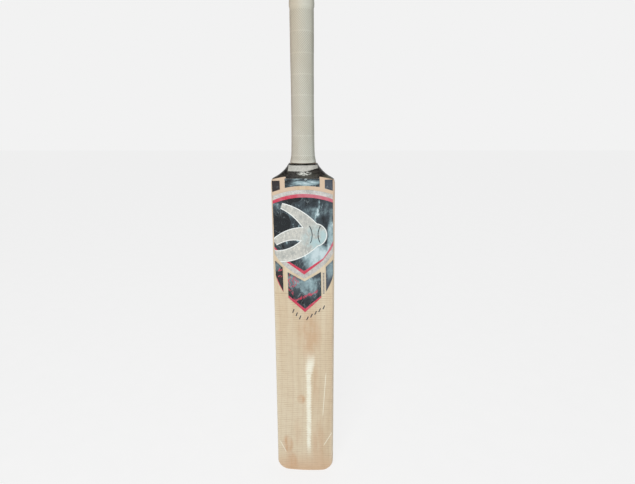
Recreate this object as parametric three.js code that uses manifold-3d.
// Full size, short handle cricket bat, standing on its toe.
// Millimetres, +Z up. The origin is the middle of the toe on the handle's axis, and the
// hitting face looks towards -Y.
import * as THREE from 'three';
import { mergeVertices } from 'three/addons/utils/BufferGeometryUtils.js';
import Module from 'manifold-3d';

const wasm = await Module();
wasm.setup();

// ---- Driving dimensions -------------------------------------------------------------------

const LENGTH = 850;
const GAP = 0.3; // glue line between neighbouring pieces

// Blade
const HALF_WIDTH = 53.5;
const SHOULDER_Z = 556; // where the straight sides end
const NECK_Z = 589; // top of the willow
const MORPH_Z = 558; // the blade's section starts to turn into the neck's oval
const NECK_HALF_DEPTH = 20;
const TOE_CORNER = { width: 27, height: 20 };
const TOE_EDGE = 3.5; // rounding of the toe's front and back edges
const FACE_Y = -17; // middle of the face at the shoulders
const FACE_BOW = 5; // how much further forward the toe is
const FACE_CAMBER = 2; // how much further forward the middle of the face is than its sides
const FRONT_EDGE_ROUND = 5;
const BACK_EDGE_ROUND = 7;
const BELL_POWER = 1.15;

// [z, value] pairs, joined by a smooth curve
const EDGE_THICKNESS = smooth([[0, 24], [40, 28], [120, 33], [210, 37], [300, 34], [400, 28],
  [500, 21], [560, 18]]);
const SPINE_Y = smooth([[0, 17], [30, 22], [120, 31.5], [210, 39], [300, 36], [400, 29],
  [500, 21.5], [560, 18.5]]);
const FLARE = smooth([[SHOULDER_Z, HALF_WIDTH], [562, 52.4], [565, 49.2], [569, 42], [573, 36.4],
  [577, 31.9], [582, 27.5], [586, 24.8], [NECK_Z, 23.2]]);
const TAPE_BOTTOM = 565.5;
const SKIN_TOP = 564.8; // the stickers end just below the tape
const BLADE_LEVELS = [0, 0.9, 2.4, 5, 9, 14, 20, 40, 65, 90, 120, 150, 180, 210, 240, 270, 300,
  333, 366, 400, 433, 466, 500, 530, SHOULDER_Z, 560, 562, SKIN_TOP, TAPE_BOTTOM, 569, 572, 576, 580,
  584.5, NECK_Z];
const FACE_STEPS = 20; // facets across the face, and as many across the back

// Handle
const SPLICE_TIP_Z = 435;
const SPLICE_TIP_HALF = 2.5;
const SPLICE_TOP_HALF = 15.2;
const HANDLE_TOP = LENGTH - 4;
const HANDLE_FOOT_Z = 580;
const HANDLE_FOOT_RADIUS = 15.6;
const RUBBER_THICKNESS = 2;
const CANE_LAYER = 9; // thickness of each of the two inner cane layers
const CANE_COLUMN_HALF = 6.7; // half the width of the middle cane of each layer
const ROUND_STEPS = 36;

// Sleeves on the handle, from the inside out
const TWINE_THICKNESS = 0.9;
const GRIP_WALL = 1.6;
const GRIP_BOTTOM = NECK_Z + 1;
const COLLAR_Z = 826;
const COLLAR_RADIUS = 19.8;
const GRIP_HOLE_RADIUS = 11.5;
const GRIP_LIP = 3;
const GRIP_RADIUS = smooth([[GRIP_BOTTOM, 22.2], [594, 21.2], [598, 20.3], [604, 19.6], [612, 19.2],
  [640, 18.8], [672, 18.5], [720, 18.6], [770, 18.9], [COLLAR_Z - 2, 19]]);
const GRIP_LEVELS = [GRIP_BOTTOM, 594, 598, 604, 612, 640, 672, 720, 770, COLLAR_Z - 2];

// Tape, label and stickers
const TAPE_THICKNESS = 0.5;
const TAPE_GAP = 0.3;
const LABEL = { low: 577, high: 586.3, half: 23, thickness: 0.35 };
const STICKER_THICKNESS = 0.35;
const STICKER_GAP = 0.12;
const FACING_TOP = 364;
const FACING_BOTTOM = 3;

// ---- Helpers ------------------------------------------------------------------------------

// Smooth curve through [z, value] pairs that never overshoots them.
function smooth(pairs) {
  const slopes = pairs.map((pair, i) => {
    if (i === 0 || i === pairs.length - 1) return 0;
    const before = (pair[1] - pairs[i - 1][1]) / (pair[0] - pairs[i - 1][0]);
    const after = (pairs[i + 1][1] - pair[1]) / (pairs[i + 1][0] - pair[0]);
    return before * after > 0 ? (2 * before * after) / (before + after) : 0;
  });
  return (z) => {
    const last = pairs.length - 1;
    if (z <= pairs[0][0]) return pairs[0][1];
    if (z >= pairs[last][0]) return pairs[last][1];
    const i = pairs.findIndex((pair) => pair[0] > z) - 1;
    const span = pairs[i + 1][0] - pairs[i][0];
    const t = (z - pairs[i][0]) / span;
    const ease = t * t * (3 - 2 * t);
    return pairs[i][1] * (1 - ease) + pairs[i + 1][1] * ease
      + span * (slopes[i] * t * (1 - t) * (1 - t) - slopes[i + 1] * t * t * (1 - t));
  };
}

function toSolid(geometry) {
  const bare = geometry.clone();
  bare.deleteAttribute('normal');
  bare.deleteAttribute('uv');
  const merged = mergeVertices(bare, 1e-5);
  return new wasm.Manifold(new wasm.Mesh({
    numProp: 3,
    vertProperties: new Float32Array(merged.attributes.position.array),
    triVerts: new Uint32Array(merged.index.array),
  }));
}

function toGeometry(solid) {
  const mesh = solid.getMesh();
  const geometry = new THREE.BufferGeometry();
  geometry.setAttribute('position', new THREE.BufferAttribute(mesh.vertProperties, 3));
  geometry.setIndex(new THREE.BufferAttribute(mesh.triVerts, 1));
  geometry.computeVertexNormals();
  return geometry;
}

function box(x, y, z) {
  const geometry = new THREE.BoxGeometry(x[1] - x[0], y[1] - y[0], z[1] - z[0]);
  geometry.translate((x[0] + x[1]) / 2, (y[0] + y[1]) / 2, (z[0] + z[1]) / 2);
  return toSolid(geometry);
}

// Turns a profile of [radius, z] points about the handle's axis.
function turned(profile) {
  const points = profile.map(([radius, z]) => new THREE.Vector2(radius, z));
  const geometry = new THREE.LatheGeometry(points, ROUND_STEPS);
  geometry.rotateX(Math.PI / 2);
  return toSolid(geometry);
}

// A prism along Y with its outline drawn in X and Z.
const PRISM_DEPTH = 160;
const polygon = (...points) => new THREE.Shape(points.map(([x, z]) => new THREE.Vector2(x, z)));

function prism(shape) {
  const options = { depth: PRISM_DEPTH, bevelEnabled: false, curveSegments: 6 };
  const geometry = new THREE.ExtrudeGeometry(shape, options);
  geometry.rotateX(Math.PI / 2);
  geometry.translate(0, PRISM_DEPTH / 2, 0);
  return toSolid(geometry);
}

// Faces of a grid of points, rows by columns, seen from the side where columns run to the
// right and rows run up. A wrapped grid closes on itself from its last column to its first.
function gridFaces(rows, columns, wrap) {
  const faces = [];
  for (let r = 0; r + 1 < rows; r += 1) {
    for (let c = 0; c < (wrap ? columns : columns - 1); c += 1) {
      const a = r * columns + c;
      const b = r * columns + ((c + 1) % columns);
      faces.push([a, b, b + columns], [a, b + columns, a + columns]);
    }
  }
  return faces;
}

function fromFaces(points, faces) {
  const geometry = new THREE.BufferGeometry();
  geometry.setAttribute('position', new THREE.Float32BufferAttribute(points.flat(), 3));
  geometry.setIndex(faces.flat());
  return toSolid(geometry);
}

// The closed layer between two grids that are facet for facet alike.
function layerBetween(outer, inner, wrap) {
  const rows = outer.length;
  const columns = outer[0].length;
  const offset = rows * columns;
  const grid = gridFaces(rows, columns, wrap);
  const faces = [...grid, ...grid.map(([a, b, c]) => [a + offset, c + offset, b + offset])];
  const wall = (a, b) => faces.push([a, a + offset, b], [b, a + offset, b + offset]);
  const last = (rows - 1) * columns;
  for (let c = 0; c < (wrap ? columns : columns - 1); c += 1) {
    const next = (c + 1) % columns;
    wall(c, next);
    wall(last + next, last + c);
  }
  for (let r = 0; r + 1 < rows && !wrap; r += 1) {
    wall((r + 1) * columns, r * columns);
    wall((r + 1) * columns - 1, (r + 2) * columns - 1);
  }
  return fromFaces([...outer.flat(), ...inner.flat()], faces);
}

// ---- Blade's surface ----------------------------------------------------------------------

function halfWidth(z) {
  if (z >= SHOULDER_Z) return FLARE(z);
  if (z >= TOE_CORNER.height) return HALF_WIDTH;
  const t = 1 - z / TOE_CORNER.height;
  return HALF_WIDTH - TOE_CORNER.width * (1 - Math.sqrt(1 - t * t));
}

function toeInset(z) {
  if (z >= TOE_EDGE) return 0;
  const t = 1 - z / TOE_EDGE;
  return TOE_EDGE * (1 - Math.sqrt(1 - t * t));
}

// One ring of the blade at height z: along the face from left to right, then back.
function bladeRing(z) {
  const half = halfWidth(z);
  const bow = FACE_BOW * (1 - Math.min(z, NECK_Z) / NECK_Z) ** 2;
  const face = FACE_Y - bow + toeInset(z);
  const edgeFront = face + FACE_CAMBER;
  const edgeBack = edgeFront + EDGE_THICKNESS(z) - 2 * toeInset(z);
  const edgeMiddle = (edgeFront + edgeBack) / 2;
  const spine = SPINE_Y(z) - toeInset(z);
  const t = THREE.MathUtils.smoothstep(z, MORPH_Z, NECK_Z);
  const rounding = (x, radius) => {
    const inward = Math.max(0, Math.abs(x) - (half - radius)) / radius;
    return (1 - inward ** 3) ** (1 / 3);
  };
  const at = (s, front) => {
    const x = -half * Math.cos(Math.PI * s);
    const u = x / half;
    const surface = front
      ? face + FACE_CAMBER * u * u
      : edgeBack + (spine - edgeBack) * (0.5 + 0.5 * Math.cos(Math.PI * u)) ** BELL_POWER;
    const radius = front ? FRONT_EDGE_ROUND : BACK_EDGE_ROUND;
    const y = edgeMiddle + (surface - edgeMiddle) * rounding(x, radius);
    const oval = (front ? -1 : 1) * NECK_HALF_DEPTH * Math.sin(Math.PI * s);
    return [x, y * (1 - t) + oval * t, z];
  };
  const ring = [];
  for (let i = 0; i <= FACE_STEPS; i += 1) ring.push(at(i / FACE_STEPS, true));
  for (let i = FACE_STEPS - 1; i > 0; i -= 1) ring.push(at(i / FACE_STEPS, false));
  return ring;
}

// Moves each point of a ring outwards in its own plane.
function grown(ring, distance) {
  return ring.map((point, i) => {
    const before = ring[(i + ring.length - 1) % ring.length];
    const after = ring[(i + 1) % ring.length];
    const tangent = new THREE.Vector2(after[0] - before[0], after[1] - before[1]).normalize();
    return [point[0] + tangent.y * distance, point[1] - tangent.x * distance, point[2]];
  });
}

function bladeSolid() {
  const rings = BLADE_LEVELS.map(bladeRing);
  const count = rings[0].length;
  const faces = gridFaces(rings.length, count, true);
  // The caps join each face point to the back point with the same X.
  const top = (rings.length - 1) * count;
  for (let i = 0; i < FACE_STEPS; i += 1) {
    const back = (count - i) % count;
    const nextBack = count - i - 1;
    faces.push([i, nextBack, i + 1], [top + i, top + i + 1, top + nextBack]);
    if (i > 0) faces.push([i, back, nextBack], [top + i, top + nextBack, top + back]);
  }
  const isTriangle = ([a, b, c]) => a !== b && b !== c && a !== c;
  return fromFaces(rings.flat(), faces.filter(isTriangle));
}

// A sleeve round the willow between two heights, from one clearance to another.
function bladeSleeve(low, high, inner, outer) {
  const levels = [low, ...BLADE_LEVELS.filter((z) => z > low && z < high), high];
  const rings = (distance) => levels.map((z) => grown(bladeRing(z), distance));
  return layerBetween(rings(outer), rings(inner), true);
}

// The thin layer in front of the whole face that every sticker is cut from.
function faceSkin() {
  const levels = BLADE_LEVELS.filter((z) => z > 0 && z <= SKIN_TOP);
  const face = levels.map((z) => bladeRing(z).slice(1, FACE_STEPS));
  const rows = (lift) => face.map((row) => row.map(([x, y, z]) => [x, y - lift, z]));
  return layerBetween(rows(STICKER_GAP + STICKER_THICKNESS), rows(STICKER_GAP), false);
}

// ---- Sticker outlines, in X and Z ----------------------------------------------------------

const STRAP_IN = 29; // bare wood straps run between the middle and side stickers
const STRAP_OUT = 37.5;
const STICKER_SIDE = 50.6;
const CENTRE_BLOCK = { top: 568, low: 550, middle: 552.8 };
const SIDE_BLOCK = { top: 562, inLow: 547.5, outLow: 543.5 };
const SHIELD = { arcMiddle: 546.3, arcSide: 537, sideLow: 437, bend: [18, 402], tip: 391.5 };
const WING = { top: 424.2, inTop: 412, side: 50.2, sideLow: 399, tip: 367.2 };
const PENNANT = { topSide: 403.3, topMiddle: 386.5, sideLow: 356.3, tip: 329.3 };
// The whole set was put on slightly askew: it leans about this height, and its right side is high.
const ASKEW = { lean: -0.014, tilt: 0.025, about: 512 };

function shoulderCentre() {
  const { top, low, middle } = CENTRE_BLOCK;
  const shape = polygon([-STRAP_IN, top], [-STRAP_IN, low]);
  shape.quadraticCurveTo(0, 2 * middle - low, STRAP_IN, low);
  shape.lineTo(STRAP_IN, top);
  return shape;
}

function shoulderSide() {
  const { top, inLow, outLow } = SIDE_BLOCK;
  return polygon([STRAP_OUT, inLow], [STICKER_SIDE, outLow], [STICKER_SIDE, top], [STRAP_OUT, top]);
}

function shieldOutline() {
  const [bendX, bendZ] = SHIELD.bend;
  const hipX = STICKER_SIDE - 8;
  const hipZ = (SHIELD.sideLow + bendZ) / 2;
  const shape = polygon([-STICKER_SIDE, SHIELD.arcSide], [-STICKER_SIDE, SHIELD.sideLow]);
  shape.quadraticCurveTo(-hipX, hipZ, -bendX, bendZ);
  shape.lineTo(0, SHIELD.tip);
  shape.lineTo(bendX, bendZ);
  shape.quadraticCurveTo(hipX, hipZ, STICKER_SIDE, SHIELD.sideLow);
  shape.lineTo(STICKER_SIDE, SHIELD.arcSide);
  shape.quadraticCurveTo(0, 2 * SHIELD.arcMiddle - SHIELD.arcSide, -STICKER_SIDE, SHIELD.arcSide);
  return shape;
}

function wingOutline() {
  const shape = polygon([STRAP_OUT, WING.inTop], [STRAP_OUT, WING.tip]);
  shape.quadraticCurveTo(WING.side - 2, WING.tip + 18, WING.side, WING.sideLow);
  shape.lineTo(WING.side, WING.top);
  return shape;
}

function pennantOutline(border = 0) {
  const half = STRAP_IN + border;
  return polygon([-half, PENNANT.sideLow - border], [0, PENNANT.tip - 1.4 * border],
    [half, PENNANT.sideLow - border], [half, PENNANT.topSide], [0, PENNANT.topMiddle],
    [-half, PENNANT.topSide]);
}

function askew(solid) {
  const { lean, tilt, about } = ASKEW;
  return solid.transform([1, 0, tilt, 0, 0, 1, 0, 0, lean, 0, 1, 0, -lean * about, 0, 0, 1]);
}

// ---- Handle -------------------------------------------------------------------------------

function handleRadius(z) {
  return GRIP_RADIUS(z) - GRIP_WALL - TWINE_THICKNESS - 2 * GAP;
}

function spliceWedge(clearance) {
  const tip = SPLICE_TIP_HALF + clearance;
  const top = SPLICE_TOP_HALF + clearance;
  const low = SPLICE_TIP_Z - clearance;
  const high = NECK_Z + clearance;
  return prism(polygon([-tip, low], [tip, low], [top, high], [-top, high]));
}

function handleBar(clearance) {
  const foot = HANDLE_FOOT_RADIUS + clearance;
  const levels = GRIP_LEVELS.map((z) => [handleRadius(z) + clearance, z]);
  const topRadius = handleRadius(COLLAR_Z) + clearance;
  const bevel = 1.5;
  return turned([[0, HANDLE_FOOT_Z - clearance], [foot, HANDLE_FOOT_Z - clearance], [foot, NECK_Z],
    ...levels, [topRadius, HANDLE_TOP - bevel], [topRadius - bevel, HANDLE_TOP], [0, HANDLE_TOP]]);
}

// Cane layers from the face to the back, with a rubber strip between each two.
const REACH = 80; // further than any surface of the bat
const CANE_IN = RUBBER_THICKNESS / 2 + GAP;
const CANE_OUT = CANE_IN + CANE_LAYER;
const CANE_OUTER_LAYER = CANE_OUT + RUBBER_THICKNESS + 2 * GAP;
const CANE_LAYERS = {
  front: [-REACH, -CANE_OUTER_LAYER],
  mid_front: [-CANE_OUT, -CANE_IN],
  mid_back: [CANE_IN, CANE_OUT],
  back: [CANE_OUTER_LAYER, REACH],
};
const CANE_COLUMNS = {
  left: [-REACH, -CANE_COLUMN_HALF - GAP / 2],
  middle: [-CANE_COLUMN_HALF + GAP / 2, CANE_COLUMN_HALF - GAP / 2],
  right: [CANE_COLUMN_HALF + GAP / 2, REACH],
};
const RUBBER_STRIPS = {
  front: [-CANE_OUTER_LAYER + GAP, -CANE_OUT - GAP],
  middle: [-RUBBER_THICKNESS / 2, RUBBER_THICKNESS / 2],
  back: [CANE_OUT + GAP, CANE_OUTER_LAYER - GAP],
};

function twineSleeve() {
  const inner = (z) => handleRadius(z) + GAP;
  const levels = GRIP_LEVELS.map((z) => [inner(z), z]);
  const top = [inner(COLLAR_Z), HANDLE_TOP - 2];
  const outer = (point) => [point[0] + TWINE_THICKNESS, point[1]];
  const inside = [...levels, top];
  return turned([inside[0], ...inside.map(outer), ...inside.slice().reverse()]);
}

function gripSleeve() {
  const outer = GRIP_LEVELS.map((z) => [GRIP_RADIUS(z), z]);
  const inner = GRIP_LEVELS.map((z) => [GRIP_RADIUS(z) - GRIP_WALL, z]).reverse();
  const collar = [[COLLAR_RADIUS, COLLAR_Z + 1], [COLLAR_RADIUS, LENGTH - 3.5],
    [COLLAR_RADIUS - 1, LENGTH - 1], [COLLAR_RADIUS - 3.5, LENGTH]];
  const mouth = [[GRIP_HOLE_RADIUS, LENGTH], [GRIP_HOLE_RADIUS, LENGTH - GRIP_LIP],
    [GRIP_RADIUS(COLLAR_Z) - GRIP_WALL, LENGTH - GRIP_LIP]];
  return turned([...outer, ...collar, ...mouth, ...inner, outer[0]]);
}

// ---- Materials ----------------------------------------------------------------------------

const paint = (color, roughness) => (
  () => new THREE.MeshStandardMaterial({ color, roughness, metalness: 0 })
);
const willow = paint(0xd4c3a5, 0.55);
const cane = paint(0xc9a96e, 0.6);
const rubberStrip = paint(0x3a3633, 0.8);
const twine = paint(0xe6dfcd, 0.8);
const gripRubber = paint(0xc0bcac, 0.7);
const blackTape = paint(0x222120, 0.45);
const whiteLabel = paint(0xdcdcd6, 0.35);
const darkFilm = paint(0x1e2731, 0.2);
const facingFilm = paint(0xd6c5a8, 0.3);

// ---- Assembly -----------------------------------------------------------------------------

const bat = new THREE.Group();

function add(name, solid, material) {
  const mesh = new THREE.Mesh(toGeometry(solid), material());
  mesh.name = name;
  bat.add(mesh);
}

const willowBlank = bladeSolid();
const handle = willowBlank.intersect(spliceWedge(0)).add(handleBar(0));
add('blade', willowBlank.subtract(spliceWedge(GAP)).subtract(handleBar(GAP)), willow);

const tall = [SPLICE_TIP_Z - 10, LENGTH];
for (const [layer, y] of Object.entries(CANE_LAYERS)) {
  for (const [column, x] of Object.entries(CANE_COLUMNS)) {
    add(`cane_${layer}_${column}`, handle.intersect(box(x, y, tall)), cane);
  }
}
for (const [place, y] of Object.entries(RUBBER_STRIPS)) {
  add(`rubber_spring_${place}`, handle.intersect(box([-REACH, REACH], y, tall)), rubberStrip);
}
add('twine_binding', twineSleeve(), twine);
add('grip', gripSleeve(), gripRubber);

const tapeOut = TAPE_GAP + TAPE_THICKNESS;
add('shoulder_tape', bladeSleeve(TAPE_BOTTOM, NECK_Z, TAPE_GAP, tapeOut), blackTape);
const labelIn = tapeOut + TAPE_GAP;
const labelBand = bladeSleeve(LABEL.low, LABEL.high, labelIn, labelIn + LABEL.thickness);
const labelSpan = box([-LABEL.half, LABEL.half], [-REACH, 0], [0, LENGTH]);
add('shoulder_label', labelBand.intersect(labelSpan), whiteLabel);

const skin = faceSkin();
const sticker = (solid) => skin.intersect(askew(solid));
const addPair = (name, shape) => {
  const right = prism(shape);
  add(`${name}_right`, sticker(right), darkFilm);
  add(`${name}_left`, sticker(right.mirror([1, 0, 0])), darkFilm);
};
add('shoulder_sticker_centre', sticker(prism(shoulderCentre())), darkFilm);
addPair('shoulder_sticker', shoulderSide());
add('shield_sticker', sticker(prism(shieldOutline())), darkFilm);
addPair('wing_sticker', wingOutline());
add('pennant_sticker', sticker(prism(pennantOutline())), darkFilm);
const facingSpan = box([-REACH, REACH], [-REACH, REACH], [FACING_BOTTOM, FACING_TOP]);
const pennantHole = askew(prism(pennantOutline(0.6)));
add('facing_sheet', skin.intersect(facingSpan).subtract(pennantHole), facingFilm);

export default bat;
